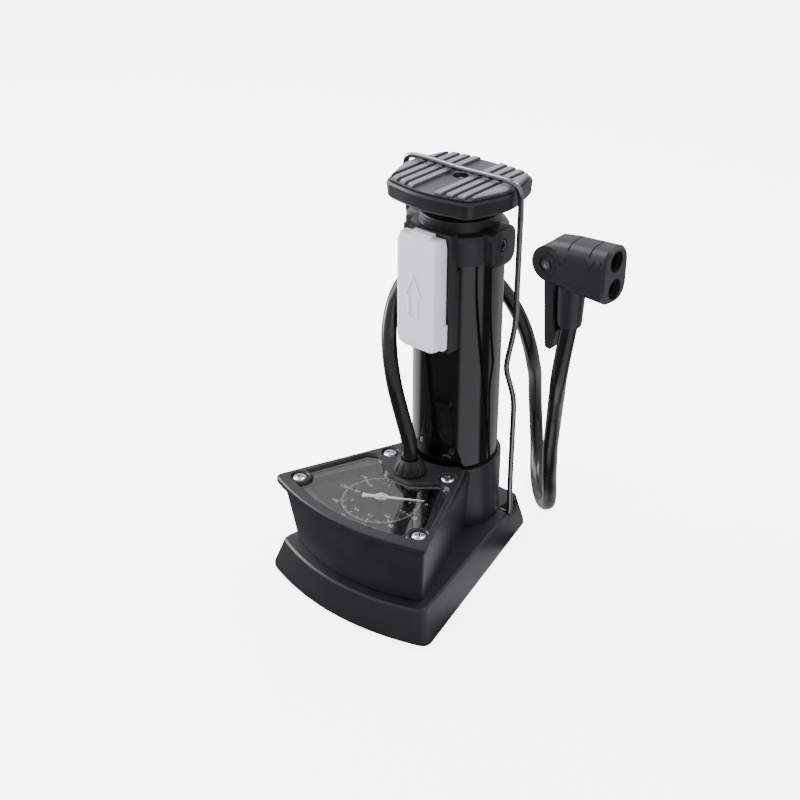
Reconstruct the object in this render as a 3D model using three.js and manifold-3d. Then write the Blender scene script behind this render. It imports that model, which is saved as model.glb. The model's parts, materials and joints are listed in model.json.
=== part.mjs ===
// Foot air pump, folded: the wire bail holds the pedal down. Millimetres, +Z up.
// Origin: on the floor, under the barrel's axis. The gauge is at the front, -Y. Right is +X.
import * as THREE from "three";
import { mergeVertices } from "three/addons/utils/BufferGeometryUtils.js";
import Module from "manifold-3d";

const wasm = await Module();
wasm.setup();

// Driving dimensions
const GAP = 0.3; // between pieces that touch
const BARREL_R = 23.5;
const BARREL_WALL = 2;
const PAD_TOP = 1.5;
const BASE_TOP = 20;
const COVER_TOP = 60;
const COVER_THICK = 4;
const CUP_TOP = 57;
const CUP_R = 25.8;
const CAP_BOTTOM = 176;
const NECK_TOP = 197.7;
const NECK_R = 20.5;
const PEDAL_BOTTOM = 205;
const PEDAL_TOP = 213.5;
const RIB_TOP = 216.2;
const SCREW_WELL_R = 4.2;
const WIRE_R = 1.5;
const BAR_Z = 218;
const BAR_X = 36.3;
const FOOT_X = 30;
const FOOT_Y = 13;
const FOOT_Z = 18;
const ROD_R = 5;
const PISTON_BOTTOM = 66;
const HOSE_R = 4.1;
const DIAL_Y = -62;
const SCREW_SPOTS = [
  [-41, -80.5],
  [41, -80.5],
  [-20, -31.3],
  [20, -31.3],
];
const GLAND_Y = -38.5;
const GLAND_TOP = 68;
const CASE_BOTTOM = 131;
const CASE_TOP = 192;
const CASE_X = 13.3;
const CASE_FRONT = -34.5;
const CASE_BACK = -26.8;
const EAR_X = 29; // outer face of the cap's lugs
const EAR_Y = -2.5; // their screws
const EAR_Z = 186;
const HEAD_Y = -18;
const HEAD_Z = 196.3;
const PIVOT_X = 71.6; // the thumb lever's pin
const HEAD_FRONT_X = 102.5;
const STEM_X = 80.1;
const STEM_BOTTOM = 165;

const root = new THREE.Group();

// Materials
function finish(color, roughness, metalness = 0, opacity = 1) {
  return new THREE.MeshStandardMaterial({
    color,
    roughness,
    metalness,
    opacity,
    transparent: opacity < 1,
  });
}
const blackPlastic = () => finish(0x1d1e21, 0.5);
const blackEnamel = () => finish(0x08080a, 0.12, 0.3);
const rubber = () => finish(0x151517, 0.8);
const steel = () => finish(0xb9bcc0, 0.25, 1);
const brass = () => finish(0xb08d45, 0.35, 1);
const treadRubber = () => finish(0x7d8090, 0.75);
const clearPlastic = () => finish(0xf2f5f7, 0.05, 0, 0.3);
const frostedPlastic = () => finish(0xf1f3f5, 0.35, 0, 0.75);
const printedCard = () => finish(0x16171a, 0.6);

// Adds one sub-part
function node(name, geometry, material) {
  const mesh = new THREE.Mesh(geometry, material);
  mesh.name = name;
  root.add(mesh);
  return mesh;
}

// Solids and booleans
function solid(geometry) {
  const g = geometry.index ? geometry.toNonIndexed() : geometry.clone();
  g.deleteAttribute("normal");
  g.deleteAttribute("uv");
  const merged = mergeVertices(g, 1e-4);
  return new wasm.Manifold(
    new wasm.Mesh({
      numProp: 3,
      vertProperties: new Float32Array(merged.attributes.position.array),
      triVerts: new Uint32Array(merged.index.array),
    }),
  );
}
function geometryOf(manifold) {
  const mesh = manifold.getMesh();
  const g = new THREE.BufferGeometry();
  g.setAttribute("position", new THREE.BufferAttribute(mesh.vertProperties, 3));
  g.setIndex(new THREE.BufferAttribute(mesh.triVerts, 1));
  g.computeVertexNormals();
  return g;
}
function combine(pieces, cuts = []) {
  let body = solid(pieces[0]);
  for (const piece of pieces.slice(1)) body = body.add(solid(piece));
  for (const cut of cuts) body = body.subtract(solid(cut));
  return geometryOf(body);
}

// Shapes
function box(x0, x1, y0, y1, z0, z1) {
  const g = new THREE.BoxGeometry(x1 - x0, y1 - y0, z1 - z0);
  return g.translate((x0 + x1) / 2, (y0 + y1) / 2, (z0 + z1) / 2);
}
function cylinder(r, z0, z1, sides = 24, x = 0, y = 0) {
  const g = new THREE.CylinderGeometry(r, r, z1 - z0, sides).rotateX(Math.PI / 2);
  return g.translate(x, y, (z0 + z1) / 2);
}
// A body turned about Z from [radius, z] points
function turned(profile, sides = 24, x = 0, y = 0) {
  const points = profile.map(([r, z]) => new THREE.Vector2(r, z));
  return new THREE.LatheGeometry(points, sides).rotateX(Math.PI / 2).translate(x, y, 0);
}
function ring(rIn, rOut, z0, z1, sides = 24, x = 0, y = 0) {
  const profile = [
    [rIn, z0],
    [rOut, z0],
    [rOut, z1],
    [rIn, z1],
    [rIn, z0],
  ];
  return turned(profile, sides, x, y);
}
// An o-ring of a round section
function oring(radius, section, z, x = 0, y = 0) {
  return new THREE.TorusGeometry(radius, section, 6, 20).translate(x, y, z);
}
// A closed outline with rounded corners, from [x, y, radius] corners
function outline(corners, steps = 4) {
  const points = [];
  const n = corners.length;
  corners.forEach(([x, y, r], i) => {
    const here = new THREE.Vector2(x, y);
    if (!r) {
      points.push(here);
      return;
    }
    const before = corners[(i + n - 1) % n];
    const after = corners[(i + 1) % n];
    const back = new THREE.Vector2(before[0] - x, before[1] - y).normalize();
    const on = new THREE.Vector2(after[0] - x, after[1] - y).normalize();
    const from = here.clone().addScaledVector(back, r);
    const to = here.clone().addScaledVector(on, r);
    const curve = new THREE.QuadraticBezierCurve(from, here, to);
    points.push(...curve.getPoints(steps));
  });
  return points;
}
// A closed body through outlines of equal point counts, one at each height
function loft(layers) {
  const n = layers[0].points.length;
  const position = [];
  const index = [];
  for (const { z, points } of layers) {
    for (const p of points) position.push(p.x, p.y, z);
  }
  for (let k = 0; k + 1 < layers.length; k++) {
    for (let i = 0; i < n; i++) {
      const a = k * n + i;
      const b = k * n + ((i + 1) % n);
      index.push(a, b, b + n, a, b + n, a + n);
    }
  }
  const last = (layers.length - 1) * n;
  for (const [a, b, c] of THREE.ShapeUtils.triangulateShape(layers[0].points, [])) {
    index.push(c, b, a);
  }
  for (const [a, b, c] of THREE.ShapeUtils.triangulateShape(layers.at(-1).points, [])) {
    index.push(last + a, last + b, last + c);
  }
  const g = new THREE.BufferGeometry();
  g.setAttribute("position", new THREE.Float32BufferAttribute(position, 3));
  g.setIndex(index);
  return g;
}
function prism(points, z0, z1) {
  return loft([
    { z: z0, points },
    { z: z1, points },
  ]);
}
// A round bar along a smooth curve
function tube(curve, r, sides, steps) {
  const section = new THREE.Shape(
    Array.from({ length: sides }, (_, i) => {
      const a = (2 * Math.PI * i) / sides;
      return new THREE.Vector2(r * Math.cos(a), r * Math.sin(a));
    }),
  );
  return new THREE.ExtrudeGeometry(section, { steps, extrudePath: curve });
}
function smooth(points) {
  return new THREE.CatmullRomCurve3(points.map((p) => new THREE.Vector3(...p)), false, "centripetal");
}

// A fan outline: arc at the front, straight sides that close in towards the rear
function fan(frontX, frontY, frontMid, rearX, rearY, cornerR, chamfer = 0) {
  const arc = new THREE.QuadraticBezierCurve(
    new THREE.Vector2(-frontX, frontY),
    new THREE.Vector2(0, 2 * frontMid - frontY),
    new THREE.Vector2(frontX, frontY),
  ).getPoints(12);
  const corners = arc.map((p, i) => [p.x, p.y, i === 0 || i === 12 ? cornerR : 0]);
  if (chamfer) {
    corners.push([rearX, rearY - chamfer, 0]);
    corners.push([rearX - chamfer, rearY, 0]);
    corners.push([chamfer - rearX, rearY, 0]);
    corners.push([-rearX, rearY - chamfer, 0]);
  } else {
    corners.push([rearX, rearY, 0]);
    corners.push([-rearX, rearY, 0]);
  }
  return outline(corners, 3);
}

// Fasteners: a pan-head cross-recess screw, its axis along Z, head up
function panScrew(headR, headH, shankR, length) {
  const profile = [
    [0, -length],
    [shankR, -length],
    [shankR, 0],
    [headR, 0],
    [headR, headH * 0.5],
    [headR * 0.6, headH],
    [0, headH],
  ];
  const w = headR * 0.14;
  const l = headR * 0.6;
  const recess = [
    box(-w, w, -l, l, headH * 0.4, headH + 1),
    box(-l, l, -w, w, headH * 0.4, headH + 1),
  ];
  return combine([turned(profile, 8)], recess);
}

// ---- Base ----
function buildBase() {
  const pad = fan(53.5, -88.5, -98.5, 26.5, 34.5, 5, 5);
  node("base_pad", prism(pad, 0, PAD_TOP), rubber());

  const bottom = PAD_TOP + GAP;
  const outer = loft([
    { z: bottom, points: fan(55.5, -90.5, -101.5, 28.5, 36.3, 5, 6) },
    { z: 4, points: fan(55.5, -90.5, -101.5, 28.5, 36.3, 5, 6) },
    { z: BASE_TOP - 1, points: fan(50, -87, -98, 27.8, 30.5, 4, 6) },
    { z: BASE_TOP, points: fan(49, -86.3, -97.2, 27, 29.7, 4, 6) },
  ]);
  const hollow = prism(fan(44, -82, -92, 19, 24, 3, 3), bottom - 1, 16.5);
  const bosses = [
    ...[-30, 30].map((x) => cylinder(5, bottom, 17, 16, x, -70)),
    cylinder(21, bottom, 17, 24),
  ];
  const cuts = [-1, 1].flatMap((s) => [
    // the pocket that a foot of the bail swings in, open to the side and the rear
    box(Math.min(s * 23.2, s * 60), Math.max(s * 23.2, s * 60), 10.5, 60, 14.5, 40),
    // the bore that the foot turns in
    new THREE.CylinderGeometry(1.9, 1.9, 12, 12)
      .rotateZ(Math.PI / 2)
      .translate(s * 19, FOOT_Y, FOOT_Z),
  ]);
  const shell = solid(outer).subtract(solid(hollow));
  let body = shell;
  for (const boss of bosses) body = body.add(solid(boss));
  for (const cut of cuts) body = body.subtract(solid(cut));
  for (const [x, y] of [[-30, -70], [30, -70]]) {
    body = body.subtract(solid(cylinder(1.9, 0, 40, 12, x, y)));
    body = body.subtract(solid(cylinder(3.9, 0, 5, 16, x, y)));
  }
  node("base_plate", geometryOf(body), blackPlastic());

  [-30, 30].forEach((x, i) => {
    const screw = panScrew(3.5, 2, 1.6, 20).rotateX(Math.PI).translate(x, -70, 4.4);
    node(`base_screw_${i + 1}`, screw, steel());
  });
}

// ---- Gauge ----
function coverOutline(inset) {
  return fan(52 - inset, -88 + inset, -98.5 + inset, 22.5 - inset, -19.5, 3);
}
function windowOutline(inset) {
  const i = inset;
  return outline(
    [
      [-40.5 + i, -69.5 + i * 0.3, 2],
      [-34.8 + i, -75.5 + i * 0.3, 2],
      [-33.5 + i, -83.5 + i, 2],
      [-35 + i, -87.5 + i, 1],
      [-18, -91.3 + i, 8],
      [0, -92.8 + i, 8],
      [18, -91.3 + i, 8],
      [35 - i, -87.5 + i, 1],
      [33.5 - i, -83.5 + i, 2],
      [34.8 - i, -75.5 + i * 0.3, 2],
      [40.5 - i, -69.5 + i * 0.3, 2],
      [28 - i, -39 - i, 4],
      [21 - i, -37.8 - i, 3],
      [9, -48.3 - i, 3],
      [-9, -48.3 - i, 3],
      [-21 + i, -37.8 - i, 3],
      [-28 + i, -39 - i, 4],
    ],
    2,
  );
}
function buildGauge() {
  const coverBottom = COVER_TOP - COVER_THICK;
  const bottom = BASE_TOP + GAP;
  const walls = loft([
    { z: bottom, points: fan(44, -81.5, -92, 19, -12, 3) },
    { z: coverBottom - GAP, points: fan(49, -85.5, -96, 21, -12, 3) },
  ]);
  const cup = cylinder(CUP_R, bottom, CUP_TOP, 32);
  const cavity = prism(fan(40, -78.5, -88.5, 17.5, -32, 3), 24, 70);
  const posts = SCREW_SPOTS.map(([x, y]) => {
    return cylinder(4.4, bottom, coverBottom - GAP, 16, x * 0.965, y + (y < -50 ? 2.2 : -0.5));
  });
  let body = solid(walls).subtract(solid(cavity)).add(solid(cup));
  for (const post of posts) body = body.add(solid(post));
  const bore = cylinder(BARREL_R + GAP, 26, 70, 32);
  body = body.subtract(solid(bore));
  for (const [x, y] of SCREW_SPOTS) {
    body = body.subtract(solid(cylinder(1.9, 44, 70, 12, x, y)));
  }
  body = body.subtract(solid(cylinder(2, 22, 30, 12, 0, -15)));
  for (const x of [-30, 30]) {
    body = body.add(solid(cylinder(4.4, bottom, 30, 16, x, -70)));
    body = body.subtract(solid(cylinder(1.9, 10, 28, 12, x, -70)));
  }
  node("gauge_housing", geometryOf(body), blackPlastic());

  const plate = loft([
    { z: coverBottom, points: coverOutline(0.6) },
    { z: coverBottom + 0.8, points: coverOutline(0) },
    { z: COVER_TOP - 0.6, points: coverOutline(0) },
    { z: COVER_TOP, points: coverOutline(0.6) },
  ]);
  const cuts = [
    loft([
      { z: coverBottom - 1, points: windowOutline(0.4) },
      { z: COVER_TOP - 1.4, points: windowOutline(0.4) },
      { z: COVER_TOP + 1, points: windowOutline(-1.2) },
    ]),
    cylinder(CUP_R + GAP, 0, 80, 32),
    cylinder(5, 0, 80, 20, 0, GLAND_Y),
  ];
  for (const [x, y] of SCREW_SPOTS) {
    cuts.push(cylinder(1.9, 0, 80, 12, x, y));
    cuts.push(cylinder(4.3, COVER_TOP - 2, 80, 20, x, y));
  }
  node("gauge_cover", combine([plate], cuts), blackPlastic());
  SCREW_SPOTS.forEach(([x, y], i) => {
    const screw = panScrew(3.8, 2, 1.6, 10).translate(x, y, COVER_TOP - 2 + GAP);
    node(`cover_screw_${i + 1}`, screw, steel());
  });

  node("gauge_lens", prism(windowOutline(0.8), 56.8, 58.2), clearPlastic());
  const dial = combine(
    [prism(fan(37, -77, -86.5, 17, -51, 4), 51.5, 52.3)],
    [cylinder(1.4, 40, 60, 12, 0, DIAL_Y)],
  );
  node("dial_plate", dial, printedCard());

  const needleShape = outline([
    [-10, -1.6, 0],
    [-3.5, -1.6, 0],
    [-2.4, -2.6, 1.2],
    [2.4, -2.6, 1.2],
    [3.5, -0.9, 0],
    [23, -0.35, 0],
    [23, 0.35, 0],
    [3.5, 0.9, 0],
    [2.4, 2.6, 1.2],
    [-2.4, 2.6, 1.2],
    [-3.5, 1.6, 0],
    [-10, 1.6, 0],
  ]);
  const needle = combine([prism(needleShape, 54, 54.6)], [cylinder(1, 50, 60, 12)]);
  needle.rotateZ(THREE.MathUtils.degToRad(30)).translate(0, DIAL_Y, 0);
  node("pointer", needle, finish(0xe8e9ea, 0.4));
  const shaft = turned([[0, 38], [0.7, 38], [0.7, 55], [1.8, 55], [1.8, 55.7], [0, 55.7]], 12, 0, DIAL_Y);
  node("pointer_shaft", shaft, brass());

  // the gauge's pressure tube: most of a turn round the shaft, from its socket
  const loop = [];
  for (let k = 0; k <= 10; k++) {
    const a = THREE.MathUtils.degToRad(75 - 27 * k);
    loop.push([13 * Math.cos(a), DIAL_Y + 13 * Math.sin(a), 43]);
  }
  node("bourdon_tube", tube(smooth(loop), 1.6, 8, 24), brass());
  const socket = combine(
    [box(-4, 4, -46.4, -34.6, 38, 50), cylinder(3, 49, 53, 16, 0, GLAND_Y)],
    [cylinder(1.5, 44, 60, 12, 0, GLAND_Y)],
  );
  node("gauge_socket", socket, brass());
}

// ---- Hose: its own route, from the gland round the barrel to the pump head ----
const HOSE_ROUTE = [
  [0, -38.5, 63.2],
  [-0.2, -38.5, 70.9],
  [-1.2, -38.3, 78.6],
  [-6.7, -37.7, 92.9],
  [-11.5, -37.6, 107.6],
  [-17, -34.6, 121.7],
  [-22.5, -28.7, 134.8],
  [-26.1, -19.6, 146.7],
  [-28.3, -6.6, 154.5],
  [-27.5, 8.5, 157.1],
  [-22.2, 22.8, 155.1],
  [-13.2, 33.8, 149.4],
  [-3.9, 41.4, 139.8],
  [3.1, 46.7, 127.1],
  [7, 52, 113.1],
  [8, 57.5, 98.7],
  [6, 64.5, 85.2],
  [1.2, 73.8, 73.8],
  [-3.5, 81.9, 61.6],
  [-6.2, 87.1, 47.3],
  [-5.2, 87.9, 32.1],
  [-0.5, 83.3, 18.2],
  [6.6, 73.9, 8.3],
  [16.6, 62.2, 4.6],
  [27.2, 51.2, 5.9],
  [36.6, 42.4, 13.9],
  [41.2, 35.6, 27.4],
  [44.6, 29.1, 41.5],
  [48.4, 22.7, 55.2],
  [51.9, 16.8, 69.1],
  [56, 11.2, 82.9],
  [60.6, 4.7, 96.2],
  [65.7, -2.7, 108.7],
  [71, -10.3, 121.1],
  [75.7, -17, 134.2],
  [78.8, -19.5, 149],
  [79.6, -19, 156.7],
  [80.1, -18, 164.3],
];
function buildHose() {
  const foot = 60 + GAP;
  const dome = turned(
    [
      [3, foot],
      [8.5, foot],
      [8.6, foot + 1.2],
      [8, foot + 3.6],
      [6.8, foot + 5.8],
      [5.5, GLAND_TOP],
      [HOSE_R + 0.4, GLAND_TOP],
      [HOSE_R + 0.4, 62.7],
      [3, 62.7],
      [3, foot],
    ],
    24,
    0,
    GLAND_Y,
  );
  node("hose_gland", dome, rubber());
  node("hose_barb", ring(1.4, 2.6, 53.3, 62.8, 16, 0, GLAND_Y), brass());
  node("hose", tube(smooth(HOSE_ROUTE), HOSE_R, 8, 44), rubber());
}

// ---- Barrel, piston and valve ----
function buildBarrel() {
  const inner = BARREL_R - BARREL_WALL;
  const tubeWall = ring(inner, BARREL_R, 26.3, 188.5, 32);
  const holes = barrelScrewSpots().map(({ angle, z }) => {
    return new THREE.CylinderGeometry(1.3, 1.3, 20, 8)
      .translate(0, -BARREL_R, 0)
      .rotateZ(angle)
      .translate(0, 0, z);
  });
  node("barrel", combine([tubeWall], holes), blackEnamel());

  const plug = turned(
    [
      [2, 26.3],
      [inner - GAP, 26.3],
      [inner - GAP, 54],
      [inner - 4, 54],
      [inner - 4, 40],
      [6, 40],
      [6, 36.4],
      [2, 36.4],
      [2, 26.3],
    ],
    28,
  );
  const groove = ring(inner - 3, inner + 1, 44.8, 48.2, 28);
  node("barrel_plug", combine([plug], [groove]), blackPlastic());
  node("plug_oring", oring(inner - 1.6, 1.2, 46.5), rubber());
  node("check_valve_disc", cylinder(4.6, 36.7, 38.2, 20), rubber());
  barrelScrewSpots().forEach(({ angle, z, name }) => {
    const screw = panScrew(2.4, 1.1, 1, 1.6);
    screw.rotateX(Math.PI / 2).translate(0, -BARREL_R - GAP, 0).rotateZ(angle).translate(0, 0, z);
    node(name, screw, steel());
  });
}
function barrelScrewSpots() {
  return [
    { name: "barrel_screw_front", angle: THREE.MathUtils.degToRad(28), z: 64 },
    { name: "barrel_screw_left", angle: THREE.MathUtils.degToRad(-38), z: 64 },
    { name: "barrel_screw_rear", angle: THREE.MathUtils.degToRad(175), z: 64 },
  ];
}
function buildPiston() {
  const r = BARREL_R - BARREL_WALL - 0.5;
  const top = PISTON_BOTTOM + 12;
  const disc = turned(
    [
      [3.3, PISTON_BOTTOM],
      [r, PISTON_BOTTOM],
      [r, PISTON_BOTTOM + 4],
      [r - 3.4, PISTON_BOTTOM + 4],
      [r - 3.4, PISTON_BOTTOM + 8],
      [r, PISTON_BOTTOM + 8],
      [r, top],
      [3.3, top],
      [3.3, PISTON_BOTTOM],
    ],
    28,
  );
  node("piston", disc, blackPlastic());
  node("piston_seal", oring(r - 1.4, 1.5, PISTON_BOTTOM + 6), rubber());
  const rod = turned(
    [
      [0, PISTON_BOTTOM - 7],
      [3, PISTON_BOTTOM - 7],
      [3, top + GAP],
      [ROD_R, top + GAP],
      [ROD_R, PEDAL_BOTTOM + 2],
      [2.4, PEDAL_BOTTOM + 2],
      [2.4, PEDAL_BOTTOM - 10],
      [0, PEDAL_BOTTOM - 10],
    ],
    20,
  );
  node("piston_rod", rod, steel());
  const nut = cylinder(6.5, PISTON_BOTTOM - 5.5, PISTON_BOTTOM - GAP, 6);
  node("piston_nut", combine([nut], [cylinder(3.4, 0, 100, 16)]), steel());

  // the spring under the piston, pushed nearly solid while the pedal is latched down
  const z0 = 41.6;
  const turns = 8;
  const pitch = (PISTON_BOTTOM - 1.6 - z0) / turns;
  const coil = [];
  for (let k = 0; k <= turns * 8; k++) {
    const a = (2 * Math.PI * k) / 8;
    coil.push([13 * Math.cos(a), 13 * Math.sin(a), z0 + (pitch * k) / 8]);
  }
  node("return_spring", tube(smooth(coil), 1.1, 5, turns * 8), steel());
}

// ---- Top cap ----
function buildCap() {
  const r = BARREL_R + GAP;
  const shell = turned(
    [
      [9.4, 179],
      [BARREL_R - BARREL_WALL - GAP, 179],
      [BARREL_R - BARREL_WALL - GAP, 189],
      [r, 189],
      [r, CAP_BOTTOM],
      [r + 1.3, CAP_BOTTOM],
      [r + 1.5, 188],
      [r + 0.4, 191],
      [NECK_R + 0.5, 192.3],
      [NECK_R, NECK_TOP - 0.8],
      [NECK_R - 0.8, NECK_TOP],
      [9.4, NECK_TOP],
      [9.4, 179],
    ],
    32,
  );
  const bore = cylinder(r, 170, 189, 32);
  let body = solid(shell);
  for (const s of [-1, 1]) {
    body = body.add(solid(buildEar(s)).subtract(solid(bore)));
    const hole = new THREE.CylinderGeometry(1.5, 1.5, 12, 12).rotateZ(Math.PI / 2);
    const seat = new THREE.CylinderGeometry(3.5, 3.5, 6, 20).rotateZ(Math.PI / 2);
    body = body.subtract(solid(hole.translate(s * EAR_X, EAR_Y, EAR_Z)));
    body = body.subtract(solid(seat.translate(s * (EAR_X + 2), EAR_Y, EAR_Z)));
  }
  node("top_cap", geometryOf(body), blackPlastic());
  for (const [name, s] of [["cap_screw_left", -1], ["cap_screw_right", 1]]) {
    const screw = panScrew(2.9, 1.4, 1.2, 4);
    screw.rotateY((s * Math.PI) / 2).translate(s * (EAR_X - 1 + GAP), EAR_Y, EAR_Z);
    node(name, screw, steel());
  }
  const bush = turned(
    [
      [ROD_R + GAP, 179.5],
      [9.1, 179.5],
      [9.1, NECK_TOP + GAP],
      [11, NECK_TOP + GAP],
      [11, NECK_TOP + 1.2],
      [ROD_R + GAP, NECK_TOP + 1.2],
      [ROD_R + GAP, 179.5],
    ],
    28,
  );
  node("guide_bush", bush, finish(0x2a2b2f, 0.5));
}
// A rounded lug on the cap's side, s = 1 for the right and -1 for the left
function buildEar(s) {
  const side = (inset) => {
    const y = 10 - inset;
    const low = -12.5 + inset;
    const high = 7.5 - inset;
    return outline([[-y, low, 7], [y, low, 7], [y, high, 5], [-y, high, 5]], 4);
  };
  const layers = [
    { z: 15, points: side(0) },
    { z: EAR_X - 2, points: side(0) },
    { z: EAR_X, points: side(2.5) },
  ];
  const placed = s > 0 ? layers : layers.map((l) => ({ z: -l.z, points: l.points })).reverse();
  // an outline's first axis becomes Y and its second Z; heights run along X
  const turn = new THREE.Matrix4().set(0, 0, 1, 0, 1, 0, 0, EAR_Y + 2.5, 0, 1, 0, EAR_Z, 0, 0, 0, 1);
  return loft(placed).applyMatrix4(turn);
}

// ---- Pedal ----
function pedalOutline(inset) {
  const i = inset;
  return outline(
    [
      [0, -32.8 + i, 10],
      [26 - i * 0.8, -27.8 + i, 3],
      [33.8 - i, -6, 5],
      [33.2 - i, 4, 5],
      [27.5 - i * 0.8, 24.2 - i, 3],
      [0, 28.2 - i, 10],
      [-27.5 + i * 0.8, 24.2 - i, 3],
      [-33.2 + i, 4, 5],
      [-33.8 + i, -6, 5],
      [-26 + i * 0.8, -27.8 + i, 3],
    ],
    3,
  );
}
function buildPedal() {
  const deck = loft([
    { z: PEDAL_BOTTOM, points: pedalOutline(1.2) },
    { z: PEDAL_BOTTOM + 1.2, points: pedalOutline(0.4) },
    { z: PEDAL_TOP - 1.2, points: pedalOutline(0) },
    { z: PEDAL_TOP, points: pedalOutline(0.5) },
  ]);
  const bossTop = PEDAL_BOTTOM + 1;
  const bossFoot = NECK_TOP + 2;
  const boss = turned([[0, bossFoot], [NECK_R - 2, bossFoot], [NECK_R, bossFoot + 2], [NECK_R + 0.5, bossTop], [0, bossTop]], 36);
  const cuts = [
    cylinder(ROD_R + GAP, 190, PEDAL_BOTTOM + 2 + GAP, 20),
    cylinder(2.7, 190, 230, 16),
    cylinder(SCREW_WELL_R, PEDAL_TOP - 2.5, 230, 20),
    cylinder(11.5, 190, NECK_TOP + 2.6, 28),
  ];
  node("pedal_body", combine([deck, boss], cuts), blackPlastic());

  const padBottom = PEDAL_TOP + GAP;
  const plate = prism(pedalOutline(1.6), padBottom, padBottom + 0.7);
  const slabs = [];
  const ribWidth = 3.4;
  for (const x of [-22.2, -16.2, -10.2, 6.8, 12.8, 18.8]) {
    slabs.push(box(x, x + ribWidth, -40, 40, padBottom, RIB_TOP));
  }
  slabs.push(box(-40, -25.2, -40, 40, padBottom, RIB_TOP), box(24.8, 40, -40, 40, padBottom, RIB_TOP));
  const field = solid(prism(pedalOutline(1.6), padBottom, RIB_TOP));
  let ribs = solid(plate);
  for (const slab of slabs) ribs = ribs.add(solid(slab).intersect(field));
  ribs = ribs.subtract(solid(cylinder(SCREW_WELL_R, 200, 230, 20)));
  node("tread_pad", geometryOf(ribs), treadRubber());
  const screw = panScrew(3.4, 2, 2.1, 12).translate(0, 0, PEDAL_TOP - 2.5 + GAP);
  node("pedal_screw", screw, steel());
}

// ---- Wire bail: two kinked legs and a bar across the pedal ----
function buildBail() {
  const leg = [
    [14, FOOT_Y, FOOT_Z],
    [22, FOOT_Y, FOOT_Z],
    [27.6, FOOT_Y, FOOT_Z],
    [29.3, FOOT_Y, FOOT_Z + 0.8],
    [FOOT_X, FOOT_Y - 0.1, FOOT_Z + 3],
    [30.6, 11.5, 40],
    [31.8, 9.6, 70],
    [32.6, 8.2, 92],
    [32, 7.8, 98],
    [28.4, 7, 110],
    [27.9, 6.8, 114],
    [28.6, 6.5, 119],
    [33, 5.2, 140],
    [34.4, 3.6, 165],
    [35.6, 1.8, 190],
    [BAR_X, 0.6, 209],
    [BAR_X - 0.3, 0.2, 213],
    [BAR_X - 1.8, 0, 216.4],
    [BAR_X - 4.6, 0, BAR_Z],
  ];
  const half = leg.map((p) => [...p]);
  const other = leg.map(([x, y, z]) => [-x, y, z]).reverse();
  node("bail_wire", tube(smooth([...half, [0, 0, BAR_Z], ...other]), WIRE_R, 6, 96), steel());
}

// ---- Storage case on the front of the barrel ----
function caseOutline(x, front, back, r) {
  return outline(
    [
      [-x, front, r],
      [x, front, r],
      [x, back, 0],
      [-x, back, 0],
    ],
    3,
  );
}
function buildCase() {
  const plate = box(-15, 15, CASE_BACK + 0.4, -18, CASE_BOTTOM - 1, CASE_TOP + 2);
  const hug = cylinder(BARREL_R + GAP, 100, 220, 32);
  const clearCap = cylinder(BARREL_R + 2.2, CAP_BOTTOM - 2, 220, 32);
  node("case_holder", combine([plate], [hug, clearCap]), blackPlastic());

  const trayBack = CASE_BACK;
  node("case_tray", combine(
    [box(-CASE_X + 1.6, CASE_X - 1.6, trayBack - 1, trayBack, CASE_BOTTOM + 2, CASE_TOP - 1.6)],
  ), frostedPlastic());

  const outer = loft([
    { z: CASE_BOTTOM, points: caseOutline(CASE_X - 4, CASE_FRONT + 1.5, CASE_BACK, 2) },
    { z: CASE_BOTTOM + 2, points: caseOutline(CASE_X - 1, CASE_FRONT + 0.3, CASE_BACK, 2) },
    { z: CASE_BOTTOM + 5, points: caseOutline(CASE_X, CASE_FRONT, CASE_BACK, 2) },
    { z: CASE_TOP - 4, points: caseOutline(CASE_X, CASE_FRONT, CASE_BACK, 2) },
    { z: CASE_TOP, points: caseOutline(CASE_X - 0.8, CASE_FRONT + 1.6, CASE_BACK, 2) },
  ]);
  const hollow = prism(caseOutline(CASE_X - 1.2, CASE_FRONT + 1.3, CASE_BACK + 1, 1), CASE_BOTTOM + 1.7, CASE_TOP - 1.2);
  node("case_cover", combine([outer], [hollow]), frostedPlastic());

  const y = (CASE_FRONT + CASE_BACK) / 2 - 0.2;
  const needle = turned([[0, 136], [0.9, 136], [0.9, 160], [2, 161], [2, 170], [0, 170]], 12, -5, y);
  node("ball_needle", needle, steel());
  const cone = turned([[0, 136], [1.2, 136], [2.2, 150], [2.2, 166], [0, 166]], 12, 5, y);
  node("tapered_nozzle", cone, brass());
}

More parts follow.
